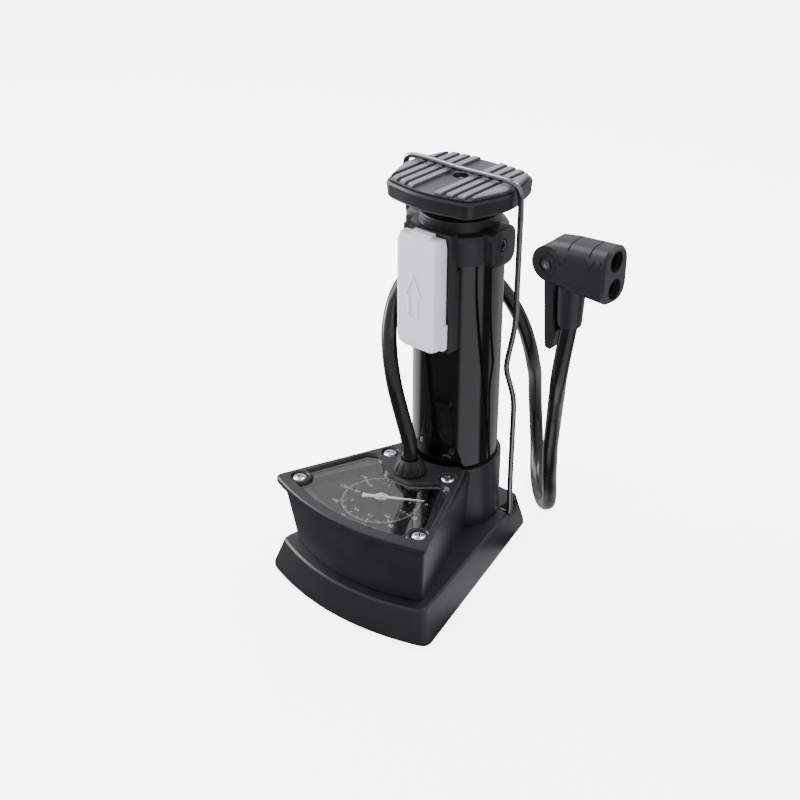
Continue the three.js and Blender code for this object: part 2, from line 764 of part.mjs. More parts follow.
// ---- Pump head: two valve openings, a stem for the hose and a thumb lever ----
function headSection(halfY, halfZ, r) {
  return outline(
    [
      [-halfY, -halfZ, r],
      [halfY, -halfZ, r],
      [halfY, halfZ, r],
      [-halfY, halfZ, r],
    ],
    5,
  );
}
function alongX(geometry, x) {
  // an outline's first axis becomes Y and its second Z; heights run along +X
  const turn = new THREE.Matrix4().set(0, 0, 1, x, 1, 0, 0, HEAD_Y, 0, 1, 0, HEAD_Z, 0, 0, 0, 1);
  return geometry.applyMatrix4(turn);
}
function acrossY(r, halfWidth, x, z, sides = 24) {
  return new THREE.CylinderGeometry(r, r, 2 * halfWidth, sides).translate(x, HEAD_Y, z);
}
function buildHead() {
  const valveOffset = 6.7;
  const leverHalf = 4.2;
  const length = HEAD_FRONT_X - PIVOT_X;
  const housing = alongX(
    loft([
      { z: 0, points: headSection(9, 11, 7) },
      { z: 8, points: headSection(9.6, 12.2, 8) },
      { z: length - 1.5, points: headSection(9.8, 13.6, 8.6) },
      { z: length, points: headSection(8.8, 12.6, 8) },
    ]),
    PIVOT_X,
  );
  const rearBoss = acrossY(8.6, 9, PIVOT_X, HEAD_Z);
  const stem = turned(
    [
      [0, STEM_BOTTOM],
      [5.6, STEM_BOTTOM],
      [5.9, STEM_BOTTOM + 1.5],
      [6.7, HEAD_Z - 12],
      [6.7, HEAD_Z],
      [0, HEAD_Z],
    ],
    24,
    STEM_X,
    HEAD_Y,
  );
  const cuts = [valveOffset, -valveOffset].map((dz) => {
    return new THREE.CylinderGeometry(5, 5, 20, 20)
      .rotateZ(Math.PI / 2)
      .translate(HEAD_FRONT_X, HEAD_Y, HEAD_Z + dz);
  });
  const slotHalf = leverHalf + 0.4;
  const slot = box(50, PIVOT_X + 7, HEAD_Y - slotHalf, HEAD_Y + slotHalf, HEAD_Z - 20, HEAD_Z + 7);
  const bore = cylinder(2, STEM_BOTTOM - 5, STEM_BOTTOM + 12, 12, STEM_X, HEAD_Y);
  const stemSide = box(50, STEM_X - 6.8, HEAD_Y - slotHalf, HEAD_Y + slotHalf, 150, HEAD_Z - 8);
  cuts.push(slot, bore, stemSide, acrossY(1.8, 20, PIVOT_X, HEAD_Z, 12));
  node("head_body", combine([housing, rearBoss, stem], cuts), blackPlastic());

  const seals = [
    { name: "valve_seal_upper", dz: valveOffset, r: 3.9 }, // for a wide tyre valve
    { name: "valve_seal_lower", dz: -valveOffset, r: 3.1 }, // for a narrow cycle valve
  ];
  for (const { name, dz, r } of seals) {
    const seal = ring(r, 4.7, 0, 6, 20).rotateY(Math.PI / 2);
    seal.translate(HEAD_FRONT_X - 8, HEAD_Y, HEAD_Z + dz);
    node(name, seal, rubber());
  }

  const eye = acrossY(6.2, leverHalf, PIVOT_X, HEAD_Z);
  const arm = new THREE.ExtrudeGeometry(
    new THREE.Shape(
      outline([
        [-5, 0, 0],
        [-4.1, -14, 8],
        [-2.4, -39, 3],
        [-1.8, -45, 1],
        [1.6, -45.6, 1],
        [2.6, -38, 2],
        [0.6, -14, 8],
        [3, 0, 0],
      ]),
    ),
    { depth: 2 * leverHalf, bevelEnabled: false },
  )
    .rotateX(Math.PI / 2)
    .translate(PIVOT_X, HEAD_Y + leverHalf, HEAD_Z);
  // the lever is a channel, open towards the stem
  const channel = new THREE.BoxGeometry(6, 5.4, 24)
    .rotateY(-0.05)
    .translate(PIVOT_X + 1.1, HEAD_Y, HEAD_Z - 24.5);
  const pinBore = acrossY(1.8, 20, PIVOT_X, HEAD_Z, 12);
  node("thumb_lever", combine([eye, arm], [channel, pinBore]), blackPlastic());
  const pin = acrossY(1.5, 9.4, PIVOT_X, HEAD_Z, 12);
  const pinHead = new THREE.CylinderGeometry(3, 3, 1.2, 16).translate(PIVOT_X, HEAD_Y - 10, HEAD_Z);
  node("lever_pin", combine([pin, pinHead]), steel());
}

buildBase();
buildGauge();
buildHose();
buildBarrel();
buildPiston();
buildCap();
buildPedal();
buildBail();
buildCase();
buildHead();

export default root;
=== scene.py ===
"""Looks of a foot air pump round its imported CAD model. Metres; helpers take millimetres and scale once."""

import json
import math

import bpy
from mathutils import Matrix, Vector


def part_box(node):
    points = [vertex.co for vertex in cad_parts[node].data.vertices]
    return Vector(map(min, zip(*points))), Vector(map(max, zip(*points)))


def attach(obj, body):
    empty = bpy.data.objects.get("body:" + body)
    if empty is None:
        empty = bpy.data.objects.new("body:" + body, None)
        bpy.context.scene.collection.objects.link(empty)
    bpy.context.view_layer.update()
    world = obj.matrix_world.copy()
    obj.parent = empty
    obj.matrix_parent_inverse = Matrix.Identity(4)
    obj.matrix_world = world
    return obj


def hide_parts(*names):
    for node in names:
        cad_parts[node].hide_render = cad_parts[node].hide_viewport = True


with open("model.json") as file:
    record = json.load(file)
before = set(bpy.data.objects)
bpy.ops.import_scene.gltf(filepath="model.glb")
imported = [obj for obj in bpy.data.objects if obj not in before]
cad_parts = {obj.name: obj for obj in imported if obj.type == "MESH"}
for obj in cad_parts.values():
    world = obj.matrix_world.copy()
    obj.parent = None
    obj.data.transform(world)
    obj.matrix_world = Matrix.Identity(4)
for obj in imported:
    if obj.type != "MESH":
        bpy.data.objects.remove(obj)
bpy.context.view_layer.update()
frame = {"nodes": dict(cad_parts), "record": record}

MM = 0.001
BARREL_R = 23.5
BASE_TOP = 20.0
COVER_TOP = 60.0
CUP_R = 25.8
NECK_R = 20.5
NECK_TOP = 197.7
PEDAL_BOTTOM = 205.0
PEDAL_TOP = 213.5
RIB_TOP = 216.2
WELL_R = 4.2
GLAND_Y = -38.5
DIAL_Y = -62.0
LOBE_R = 6.8
EAR_X = 29.0
EAR_Y = -2.5
EAR_Z = 186.0
HEAD_Y = -18.0
HEAD_Z = 196.3
PIVOT_X = 71.6
HEAD_FRONT_X = 102.5
STEM_X = 80.1
STEM_BOTTOM = 165.0
CAMERA_AZIMUTH = 40.36
CAMERA_ELEVATION = 29.745
CAMERA_DISTANCE = 0.70563
CAMERA_LENS = 58.4
AIM_HEIGHT = 0.08648
AIM_ASIDE = 0.03022
DIAL_TOP = 52.3
# Painted light on the tread: the rubber is painted paler from this height up to the rib tops, in this colour.
PAINTED_LIGHT_FROM = PEDAL_TOP + 1.2
PAINTED_LIGHT_RUBBER = (0.13, 0.137, 0.168)


# ---------------------------------------------------------------- camera
def make_camera():
    azimuth, elevation = math.radians(CAMERA_AZIMUTH), math.radians(CAMERA_ELEVATION)
    right = Vector((math.cos(azimuth), math.sin(azimuth), 0))
    level = math.cos(elevation)
    back = Vector((math.sin(azimuth) * level, -math.cos(azimuth) * level, math.sin(elevation)))
    up = back.cross(right)
    aim = Vector((0, 0, AIM_HEIGHT)) - right * AIM_ASIDE
    data = bpy.data.cameras.new("camera")
    data.sensor_width = 36
    data.lens = CAMERA_LENS
    data.clip_start = 0.01
    camera = bpy.data.objects.new("camera", data)
    bpy.context.scene.collection.objects.link(camera)
    turn = Matrix((right, up, back)).transposed().to_4x4()
    camera.matrix_world = Matrix.Translation(aim + back * CAMERA_DISTANCE) @ turn
    bpy.context.scene.camera = camera


make_camera()


# ---------------------------------------------------------------- materials
def material(
    name,
    color,
    roughness,
    metallic=0.0,
    mottle=0.12,
    patch=60,
    grain=0.0,
    grain_scale=3000,
    rough_var=0.06,
    **fixed,
):
    """A shader whose colour, roughness and bump vary over the surface by noise."""
    m = bpy.data.materials.new(name)
    m.use_nodes = True
    tree = m.node_tree
    tree.nodes.clear()
    out = tree.nodes.new("ShaderNodeOutputMaterial")
    shader = tree.nodes.new("ShaderNodeBsdfPrincipled")
    tree.links.new(shader.outputs["BSDF"], out.inputs["Surface"])
    coord = tree.nodes.new("ShaderNodeTexCoord")

    def noise(scale, detail=4.0):
        n = tree.nodes.new("ShaderNodeTexNoise")
        n.inputs["Scale"].default_value = scale
        n.inputs["Detail"].default_value = detail
        tree.links.new(coord.outputs["Object"], n.inputs["Vector"])
        return n.outputs["Fac"]

    ramp = tree.nodes.new("ShaderNodeValToRGB")
    ramp.color_ramp.elements[0].position = 0.3
    ramp.color_ramp.elements[1].position = 0.7
    ramp.color_ramp.elements[0].color = (*[c * (1 - mottle) for c in color], 1)
    ramp.color_ramp.elements[1].color = (*[min(1, c * (1 + mottle)) for c in color], 1)
    tree.links.new(noise(patch), ramp.inputs["Fac"])
    tree.links.new(ramp.outputs["Color"], shader.inputs["Base Color"])
    spread = tree.nodes.new("ShaderNodeMapRange")
    spread.inputs["To Min"].default_value = max(0.02, roughness - rough_var)
    spread.inputs["To Max"].default_value = min(1, roughness + rough_var)
    tree.links.new(noise(patch * 3), spread.inputs["Value"])
    tree.links.new(spread.outputs["Result"], shader.inputs["Roughness"])
    if grain:
        bump = tree.nodes.new("ShaderNodeBump")
        bump.inputs["Strength"].default_value = grain
        bump.inputs["Distance"].default_value = 0.0001
        tree.links.new(noise(grain_scale, 2.0), bump.inputs["Height"])
        tree.links.new(bump.outputs["Normal"], shader.inputs["Normal"])
    shader.inputs["Metallic"].default_value = metallic
    for key, value in fixed.items():
        shader.inputs[key.replace("_", " ")].default_value = value
    return m


LOOKS = {
    "black_plastic": dict(
        color=(0.014, 0.014, 0.0165),
        roughness=0.38,
        grain=0.3,
        grain_scale=2600,
        Specular_IOR_Level=0.38,
    ),
    "black_enamel": dict(
        color=(0.003, 0.003, 0.0035),
        roughness=0.07,
        rough_var=0.02,
        grain=0.02,
        grain_scale=900,
        Specular_IOR_Level=0.55,
    ),
    "black_rubber": dict(
        color=(0.008, 0.008, 0.009),
        roughness=0.5,
        grain=0.3,
        grain_scale=2200,
        Specular_IOR_Level=0.35,
    ),
    "hose_rubber": dict(
        color=(0.005, 0.005, 0.006),
        roughness=0.24,
        grain=0.1,
        grain_scale=1400,
        Specular_IOR_Level=0.45,
    ),
    "steel": dict(
        color=(0.5, 0.51, 0.54),
        roughness=0.2,
        metallic=1.0,
        mottle=0.06,
        grain=0.08,
        grain_scale=1500,
    ),
    "dark_chrome": dict(
        color=(0.2, 0.2, 0.22),
        roughness=0.16,
        metallic=1.0,
        mottle=0.05,
        grain=0.06,
        grain_scale=1500,
    ),
    "brass": dict(color=(0.72, 0.52, 0.22), roughness=0.3, metallic=1.0, grain=0.1, grain_scale=1800),
    "tread_rubber": dict(
        color=(0.01, 0.011, 0.018),
        roughness=0.5,
        grain=0.5,
        grain_scale=2400,
        Sheen_Weight=0.2,
    ),
    "clear_plastic": dict(
        color=(0.97, 0.98, 1.0),
        roughness=0.02,
        mottle=0.01,
        rough_var=0.01,
        Transmission_Weight=1.0,
        IOR=1.49,
    ),
    "case_plastic": dict(
        color=(0.97, 0.965, 0.99),
        roughness=0.32,
        mottle=0.03,
        grain=0.2,
        grain_scale=1500,
        Transmission_Weight=0.12,
        IOR=1.45,
        Subsurface_Weight=0.2,
    ),
    "dial_print": dict(color=(0.003, 0.003, 0.004), roughness=0.6, Specular_IOR_Level=0.15),
    "pointer_paint": dict(color=(0.8, 0.81, 0.82), roughness=0.4, mottle=0.04, grain=0.1),
    "dial_ink": dict(color=(0.62, 0.62, 0.64), roughness=0.5, mottle=0.04),
    "guide_plastic": dict(color=(0.012, 0.012, 0.013), roughness=0.45, grain=0.2),
}
MATS = {name: material(name, **look) for name, look in LOOKS.items()}


def paint_light_on_tops(m, low, high, color):
    """Painted light: paler rubber above a height, a painted highlight on the rib tops so that they stand out
    of the grooves, which keep the darker colour as painted shade.
    """
    tree = m.node_tree
    shader = next(n for n in tree.nodes if n.type == "BSDF_PRINCIPLED")
    coord = tree.nodes.new("ShaderNodeTexCoord")
    split = tree.nodes.new("ShaderNodeSeparateXYZ")
    tree.links.new(coord.outputs["Object"], split.inputs["Vector"])
    height = tree.nodes.new("ShaderNodeMapRange")
    height.inputs["From Min"].default_value = low * MM
    height.inputs["From Max"].default_value = high * MM
    tree.links.new(split.outputs["Z"], height.inputs["Value"])
    mix = tree.nodes.new("ShaderNodeMixRGB")
    mix.inputs["Color2"].default_value = (*color, 1)
    tree.links.new(height.outputs["Result"], mix.inputs["Fac"])
    tree.links.new(shader.inputs["Base Color"].links[0].from_socket, mix.inputs["Color1"])
    tree.links.new(mix.outputs["Color"], shader.inputs["Base Color"])


# Painted light: rib tops painted paler and grooves left darker by height, standing in for light on the ribs
# and shade in the grooves.
paint_light_on_tops(MATS["tread_rubber"], PAINTED_LIGHT_FROM, RIB_TOP, PAINTED_LIGHT_RUBBER)
slot_of = {s["node"]: s["material_slot"] for s in frame["record"]["subparts"]}
body_of = {n: b for b, ns in frame["record"]["behaviour"]["bodies"].items() for n in ns}
for name, node in frame["nodes"].items():
    node.data.materials.clear()
    node.data.materials.append(MATS[slot_of[name]])


# ---------------------------------------------------------------- mesh helpers
def outline(corners, steps=8):
    """A closed outline whose (x, y, radius) corners are rounded."""
    points = []
    for i, (x, y, r) in enumerate(corners):
        here = Vector((x, y))
        if not r:
            points.append(here)
            continue
        before, after = Vector(corners[i - 1][:2]), Vector(corners[(i + 1) % len(corners)][:2])
        start = here + (before - here).normalized() * r
        end = here + (after - here).normalized() * r
        for k in range(steps + 1):
            t = k / steps
            points.append(start * (1 - t) ** 2 + here * 2 * t * (1 - t) + end * t * t)
    return points


def fan(front_x, front_y, front_mid, rear_x, rear_y, corner_r, chamfer=0):
    """Arc at the front, straight sides that close in towards the rear."""
    steps = 40
    a, c = Vector((-front_x, front_y)), Vector((front_x, front_y))
    b = Vector((0, 2 * front_mid - front_y))
    corners = []
    for k in range(steps + 1):
        t = k / steps
        p = a * (1 - t) ** 2 + b * 2 * t * (1 - t) + c * t * t
        near_end = k in (0, steps)
        if not near_end and min(k, steps - k) * (2 * front_x / steps) < corner_r:
            continue
        corners.append((p.x, p.y, corner_r if near_end else 0))
    if chamfer:
        corners += [(rear_x, rear_y - chamfer, 0.8), (rear_x - chamfer, rear_y, 0.8)]
        corners += [(chamfer - rear_x, rear_y, 0.8), (-rear_x, rear_y - chamfer, 0.8)]
    else:
        corners += [(rear_x, rear_y, 0.5), (-rear_x, rear_y, 0.5)]
    return outline(corners)


def mesh_object(name, verts, faces):
    data = bpy.data.meshes.new(name)
    data.from_pydata([[c * MM for c in v] for v in verts], [], faces)
    data.validate()
    obj = bpy.data.objects.new(name, data)
    bpy.context.scene.collection.objects.link(obj)
    return obj


def loft(name, layers):
    """A closed body through outlines of equal counts: layers are (z, points)."""
    n = len(layers[0][1])
    verts = [(p[0], p[1], z) for z, points in layers for p in points]
    faces = [tuple(range(n))[::-1]]
    for k in range(len(layers) - 1):
        for i in range(n):
            j = (i + 1) % n
            faces.append((k * n + i, k * n + j, (k + 1) * n + j, (k + 1) * n + i))
    faces.append(tuple(range((len(layers) - 1) * n, len(layers) * n)))
    return mesh_object(name, verts, faces)


def prism(name, points, z0, z1):
    return loft(name, [(z0, points), (z1, points)])


def block(name, x0, x1, y0, y1, z0, z1):
    return prism(name, [(x0, y0), (x1, y0), (x1, y1), (x0, y1)], z0, z1)


def lathe(name, profile, sides=96, x=0.0, y=0.0, closed=False, shape=None):
    """A body turned about Z from (radius, z) points; shape(angle, radius, z) may change the radius."""
    verts, faces, rings = [], [], []
    for r, z in profile:
        if r < 1e-6:
            rings.append([len(verts)])
            verts.append((x, y, z))
            continue
        ring = []
        for i in range(sides):
            a = 2 * math.pi * i / sides
            rr = shape(a, r, z) if shape else r
            ring.append(len(verts))
            verts.append((x + rr * math.cos(a), y + rr * math.sin(a), z))
        rings.append(ring)
    pairs = list(zip(rings, rings[1:]))
    if closed:
        pairs.append((rings[-1], rings[0]))
    for low, high in pairs:
        for i in range(sides):
            j = (i + 1) % sides
            if len(low) == 1:
                faces.append((low[0], high[j], high[i]))
            elif len(high) == 1:
                faces.append((low[i], low[j], high[0]))
            else:
                faces.append((low[i], low[j], high[j], high[i]))
    return mesh_object(name, verts, faces)


def cylinder(name, r, z0, z1, sides=96, x=0.0, y=0.0):
    return lathe(name, [(0, z0), (r, z0), (r, z1), (0, z1)], sides, x, y)


def turned_to(obj, axis, angle):
    """Turns obj's mesh about an axis through the origin."""
    obj.data.transform(Matrix.Rotation(angle, 4, axis))
    return obj


def facing_x(obj, x, y, z):
    """Lays a body built up along Z so that it points along X, from (x, y, z) in millimetres."""
    rows = ((0, 0, 1, x * MM), (1, 0, 0, y * MM), (0, 1, 0, z * MM), (0, 0, 0, 1))
    obj.data.transform(Matrix(rows))
    return obj


def moved(obj, x=0.0, y=0.0, z=0.0):
    obj.data.transform(Matrix.Translation(Vector((x, y, z)) * MM))
    return obj


def bake(obj):
    """Applies obj's modifiers to its mesh."""
    bpy.context.view_layer.update()
    data = bpy.data.meshes.new_from_object(obj.evaluated_get(bpy.context.evaluated_depsgraph_get()))
    obj.modifiers.clear()
    old = obj.data
    obj.data = data
    bpy.data.meshes.remove(old)
    return obj


def combine(obj, others, operation):
    for other in others:
        mod = obj.modifiers.new("combine", "BOOLEAN")
        mod.operation = operation
        mod.solver = "EXACT"
        mod.object = other
        bake(obj)
        bpy.data.objects.remove(other)
    return obj


def cut(obj, *others):
    return combine(obj, others, "DIFFERENCE")


def join(obj, *others):
    return combine(obj, others, "UNION")


def along_y(name, r, y0, y1, x, z, sides=64):
    return moved(turned_to(cylinder(name, r, y0, y1, sides), "X", -math.pi / 2), x, 0, z)


def along_x(name, r, x0, x1, y, z, sides=64):
    return moved(turned_to(cylinder(name, r, x0, x1, sides), "Y", math.pi / 2), 0, y, z)


def piece(obj, body, slot, nodes=(), bevel=0.0, segments=3, angle=32, soft=35):
    """Finishes a piece: rounded edges, smooth shading, material, and the body it rides on."""
    if bevel:
        mod = obj.modifiers.new("bevel", "BEVEL")
        mod.width = bevel * MM
        mod.segments = segments
        mod.limit_method = "ANGLE"
        mod.angle_limit = math.radians(angle)
        mod.use_clamp_overlap = True
        bake(obj)
    obj.data.shade_smooth()
    obj.data.set_sharp_from_angle(angle=math.radians(soft))
    mod = obj.modifiers.new("normals", "WEIGHTED_NORMAL")
    mod.keep_sharp = True
    bake(obj)
    data = obj.data
    data.materials.clear()
    data.materials.append(MATS[slot])
    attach(obj, body)
    if nodes:
        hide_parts(*nodes)
    return obj


def catmull(points, steps=8):
    """A centripetal curve through the points."""
    pts = [Vector(p) for p in points]
    ends = [pts[0] * 2 - pts[1], *pts, pts[-1] * 2 - pts[-2]]
    out = []
    for i in range(1, len(ends) - 2):
        p0, p1, p2, p3 = ends[i - 1 : i + 3]
        t0 = 0.0
        t1 = t0 + max((p1 - p0).length, 1e-9) ** 0.5
        t2 = t1 + max((p2 - p1).length, 1e-9) ** 0.5
        t3 = t2 + max((p3 - p2).length, 1e-9) ** 0.5
        for k in range(steps):
            t = t1 + (t2 - t1) * k / steps
            a1 = p0 * ((t1 - t) / (t1 - t0)) + p1 * ((t - t0) / (t1 - t0))
            a2 = p1 * ((t2 - t) / (t2 - t1)) + p2 * ((t - t1) / (t2 - t1))
            a3 = p2 * ((t3 - t) / (t3 - t2)) + p3 * ((t - t2) / (t3 - t2))
            b1 = a1 * ((t2 - t) / (t2 - t0)) + a2 * ((t - t0) / (t2 - t0))
            b2 = a2 * ((t3 - t) / (t3 - t1)) + a3 * ((t - t1) / (t3 - t1))
            out.append(b1 * ((t2 - t) / (t2 - t1)) + b2 * ((t - t1) / (t2 - t1)))
    out.append(pts[-1])
    return out


def rod(name, points, r, sides):
    """A round bar along a path, its section carried along without twist."""
    verts, faces = [], []
    n = len(points)
    tangent = (points[1] - points[0]).normalized()
    side = tangent.orthogonal().normalized()
    for k, p in enumerate(points):
        ahead = points[min(k + 1, n - 1)] - points[max(k - 1, 0)]
        ahead.normalize()
        side = (side - ahead * side.dot(ahead)).normalized()
        other = ahead.cross(side)
        for i in range(sides):
            a = 2 * math.pi * i / sides
            verts.append(p + side * (r * math.cos(a)) + other * (r * math.sin(a)))
    for k in range(n - 1):
        for i in range(sides):
            j = (i + 1) % sides
            faces.append((k * sides + i, k * sides + j, (k + 1) * sides + j, (k + 1) * sides + i))
    faces.append(tuple(range(sides))[::-1])
    faces.append(tuple(range((n - 1) * sides, n * sides)))
    return mesh_object(name, verts, faces)


# ---------------------------------------------------------------- hose
HOSE_R = 0.0041
HOSE_ROUTE = [
    (0, -0.0385, 0.0632),
    (-0.0002, -0.0385, 0.0709),
    (-0.0012, -0.0383, 0.0786),
    (-0.0067, -0.0377, 0.0929),
    (-0.0115, -0.0376, 0.1076),
    (-0.017, -0.0346, 0.1217),
    (-0.0225, -0.0287, 0.1348),
    (-0.0261, -0.0196, 0.1467),
    (-0.0283, -0.0066, 0.1545),
    (-0.0275, 0.0085, 0.1571),
    (-0.0222, 0.0228, 0.1551),
    (-0.0132, 0.0338, 0.1494),
    (-0.0039, 0.0414, 0.1398),
    (0.0031, 0.0467, 0.1271),
    (0.007, 0.052, 0.1131),
    (0.008, 0.0575, 0.0987),
    (0.006, 0.0645, 0.0852),
    (0.0012, 0.0738, 0.0738),
    (-0.0035, 0.0819, 0.0616),
    (-0.0062, 0.0871, 0.0473),
    (-0.0052, 0.0879, 0.0321),
    (-0.0005, 0.0833, 0.0182),
    (0.0066, 0.0739, 0.0083),
    (0.0166, 0.0622, 0.0046),
    (0.0272, 0.0512, 0.0059),
    (0.0366, 0.0424, 0.0139),
    (0.0412, 0.0356, 0.0274),
    (0.0446, 0.0291, 0.0415),
    (0.0484, 0.0227, 0.0552),
    (0.0519, 0.0168, 0.0691),
    (0.056, 0.0112, 0.0829),
    (0.0606, 0.0047, 0.0962),
    (0.0657, -0.0027, 0.1087),
    (0.071, -0.0103, 0.1211),
    (0.0757, -0.017, 0.1342),
    (0.0788, -0.0195, 0.149),
    (0.0796, -0.019, 0.1567),
    (0.0801, -0.018, 0.1643),
]


def make_hose():
    path = catmull(HOSE_ROUTE)
    curve = bpy.data.curves.new("hose_line", "CURVE")
    curve.dimensions = "3D"
    curve.bevel_depth = HOSE_R
    curve.bevel_resolution = 6
    curve.use_fill_caps = True
    spline = curve.splines.new("POLY")
    spline.points.add(len(path) - 1)
    for point, p in zip(spline.points, path):
        point.co = (*p, 1)
    spline.use_smooth = True
    curve.materials.append(MATS["hose_rubber"])
    obj = bpy.data.objects.new("hose_line", curve)
    bpy.context.scene.collection.objects.link(obj)
    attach(obj, "pump")
    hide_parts("hose")
    length = sum((b - a).length for a, b in zip(path, path[1:]))
    return obj, length


hose, hose_length = make_hose()


# ---------------------------------------------------------------- fasteners
def pan_screw(name, head_r, head_h, shank_r, length):
    """A pan-head cross-recess screw, its axis along Z, head up, seat at z 0."""
    turns = [math.radians(a) for a in range(0, 91, 10)]
    dome = [(head_r * math.cos(t), head_h * (0.35 + 0.65 * math.sin(t))) for t in turns]
    dome[-1] = (0, head_h)
    shank = [(0, -length), (shank_r, -length), (shank_r, 0)]
    screw = lathe(name, [*shank, (head_r * 0.96, 0), (head_r, head_h * 0.15), *dome], 48)
    w, l = head_r * 0.13, head_r * 0.58
    top, low = head_h + 1, head_h * 0.25
    quadrants = ((-1, -1), (1, -1), (1, 1), (-1, 1))
    for x, y in ((w, l), (l, w)):
        layers = [(z, [(x * k * i, y * k * j) for i, j in quadrants]) for z, k in ((low, 0.6), (top, 1.2))]
        cut(screw, loft("tool", layers))
    return screw


def centre(node):
    low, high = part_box(node)
    return (low + high) / 2 / MM


for i, spin_deg in ((1, 20), (2, 64), (3, 38), (4, 5)):
    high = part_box(f"cover_screw_{i}")[1]
    c = centre(f"cover_screw_{i}")
    s = pan_screw(f"cover_screw_head_{i}", 3.8, 2.0, 1.6, 10)
    turned_to(s, "Z", math.radians(spin_deg))
    moved(s, c.x, c.y, high.z / MM - 2.0)
    piece(s, "pump", "steel", [f"cover_screw_{i}"], bevel=0.12, segments=2)

for side, node in ((1, "cap_screw_right"), (-1, "cap_screw_left")):
    s = pan_screw(node + "_head", 2.9, 1.4, 1.2, 4)
    turned_to(s, "Z", math.radians(25))
    turned_to(s, "Y", side * math.pi / 2)
    moved(s, side * (EAR_X - 0.7), EAR_Y, EAR_Z)
    piece(s, "pump", "black_enamel", [node], bevel=0.1, segments=2)

for node, angle in (("barrel_screw_front", 28), ("barrel_screw_left", -38), ("barrel_screw_rear", 175)):
    s = pan_screw(node + "_head", 2.4, 1.1, 1.0, 1.6)
    turned_to(s, "Z", math.radians(30))
    turned_to(s, "X", math.pi / 2)
    moved(s, 0, -BARREL_R - 0.3, 0)
    turned_to(s, "Z", math.radians(angle))
    moved(s, 0, 0, 64)
    piece(s, "pump", "black_enamel", [node], bevel=0.1, segments=2)

s = pan_screw("pedal_screw_head", 3.4, 2, 2.1, 12)
turned_to(s, "Z", math.radians(40))
moved(s, 0, 0, PEDAL_TOP - 2.2)
piece(s, "pedal", "steel", ["pedal_screw"], bevel=0.12, segments=2)


# ---------------------------------------------------------------- base and gauge
def make_base():
    bottom = 1.8
    shape = loft(
        "base_shell",
        [
            (bottom, fan(55.5, -90.5, -101.5, 28.5, 36.3, 5, 6)),
            (4, fan(55.5, -90.5, -101.5, 28.5, 36.3, 5, 6)),
            (BASE_TOP - 1, fan(50, -87, -98, 27.8, 30.5, 4, 6)),
            (BASE_TOP, fan(49, -86.3, -97.2, 27, 29.7, 4, 6)),
        ],
    )
    for s in (-1, 1):
        x0, x1 = sorted((s * 23.2, s * 60))
        cut(shape, block("pocket", x0, x1, 10.5, 60, 14.5, 40))
        cut(shape, along_x("bore", 1.9, s * 19 - 6, s * 19 + 6, 13, 18, 24))
    piece(shape, "pump", "black_plastic", ["base_plate"], bevel=0.5, angle=24)


def make_housing():
    foot, rim = fan(44, -81.5, -92, 19, -12, 3), fan(49, -85.5, -96, 21, -12, 3)
    body = loft("housing_shell", [(20.3, foot), (55.7, rim)])
    join(body, cylinder("cup", CUP_R, 20.3, 57))
    cut(body, prism("cavity", fan(40, -78.5, -88.5, 17.5, -32, 3), 24, 70))
    cut(body, cylinder("bore", BARREL_R + 0.3, 26, 70))
    piece(body, "pump", "black_plastic", ["gauge_housing"], bevel=0.5, angle=28)


def window(inset):
    i = inset
    return outline(
        [
            (-42 + i, -73.5, 1),
            (-39.5 + i, -85.6 + i, 1),
            (-18, -91.3 + i, 8),
            (0, -92.8 + i, 8),
            (18, -91.3 + i, 8),
            (39.5 - i, -85.6 + i, 1),
            (42 - i, -73.5, 1),
            (28 - i, -39 - i, 4),
            (21 - i, -37.8 - i, 3),
            (9, -48.3 - i, 3),
            (-9, -48.3 - i, 3),
            (-21 + i, -37.8 - i, 3),
            (-28 + i, -39 - i, 4),
        ]
    )


def with_lobes(tool, grow):
    """Keeps an opening clear of the round lobes about the two front screws."""
    for i in (1, 2):
        c = centre(f"cover_screw_{i}")
        r = LOBE_R + grow
        top = [(r, COVER_TOP - 1.4), (r - 1.4, COVER_TOP + 1), (r - 1.4, 80), (0, 80)]
        cut(tool, lathe("lobe", [(0, 40), (r, 40), *top], 64, c.x, c.y))
    return tool


def make_cover():
    low = COVER_TOP - 4
    rim = [fan(52 - i, -88 + i, -98.5 + i, 22.5 - i, -19.5, 3) for i in (0.6, 0)]
    layers = [(low, rim[0]), (low + 0.8, rim[1]), (COVER_TOP - 0.6, rim[1]), (COVER_TOP, rim[0])]
    cover = loft("gauge_rim", layers)
    sill = COVER_TOP - 1.4
    layers = [(low - 1, window(0.4)), (sill, window(0.4)), (COVER_TOP + 1, window(-1.2))]
    cut(cover, with_lobes(loft("opening", layers), 0))
    cut(cover, cylinder("bore", CUP_R + 0.3, 0, 80))
    cut(cover, cylinder("bore", 5, 0, 80, 48, 0, GLAND_Y))
    for i in (1, 2, 3, 4):
        c = centre(f"cover_screw_{i}")
        seat = [(0, COVER_TOP - 2), (4.5, COVER_TOP - 2), (4.5, COVER_TOP - 0.7)]
        seat += [(5.1, COVER_TOP + 0.1), (5.1, 80), (0, 80)]
        cut(cover, lathe("seat", seat, 48, c.x, c.y))
    piece(cover, "pump", "black_plastic", ["gauge_cover"], bevel=0.35, angle=30)
    lens = with_lobes(prism("gauge_window", window(0.8), 56.8, 58.2), 0.5)
    piece(lens, "pump", "clear_plastic", ["gauge_lens"], bevel=0.12, segments=2)


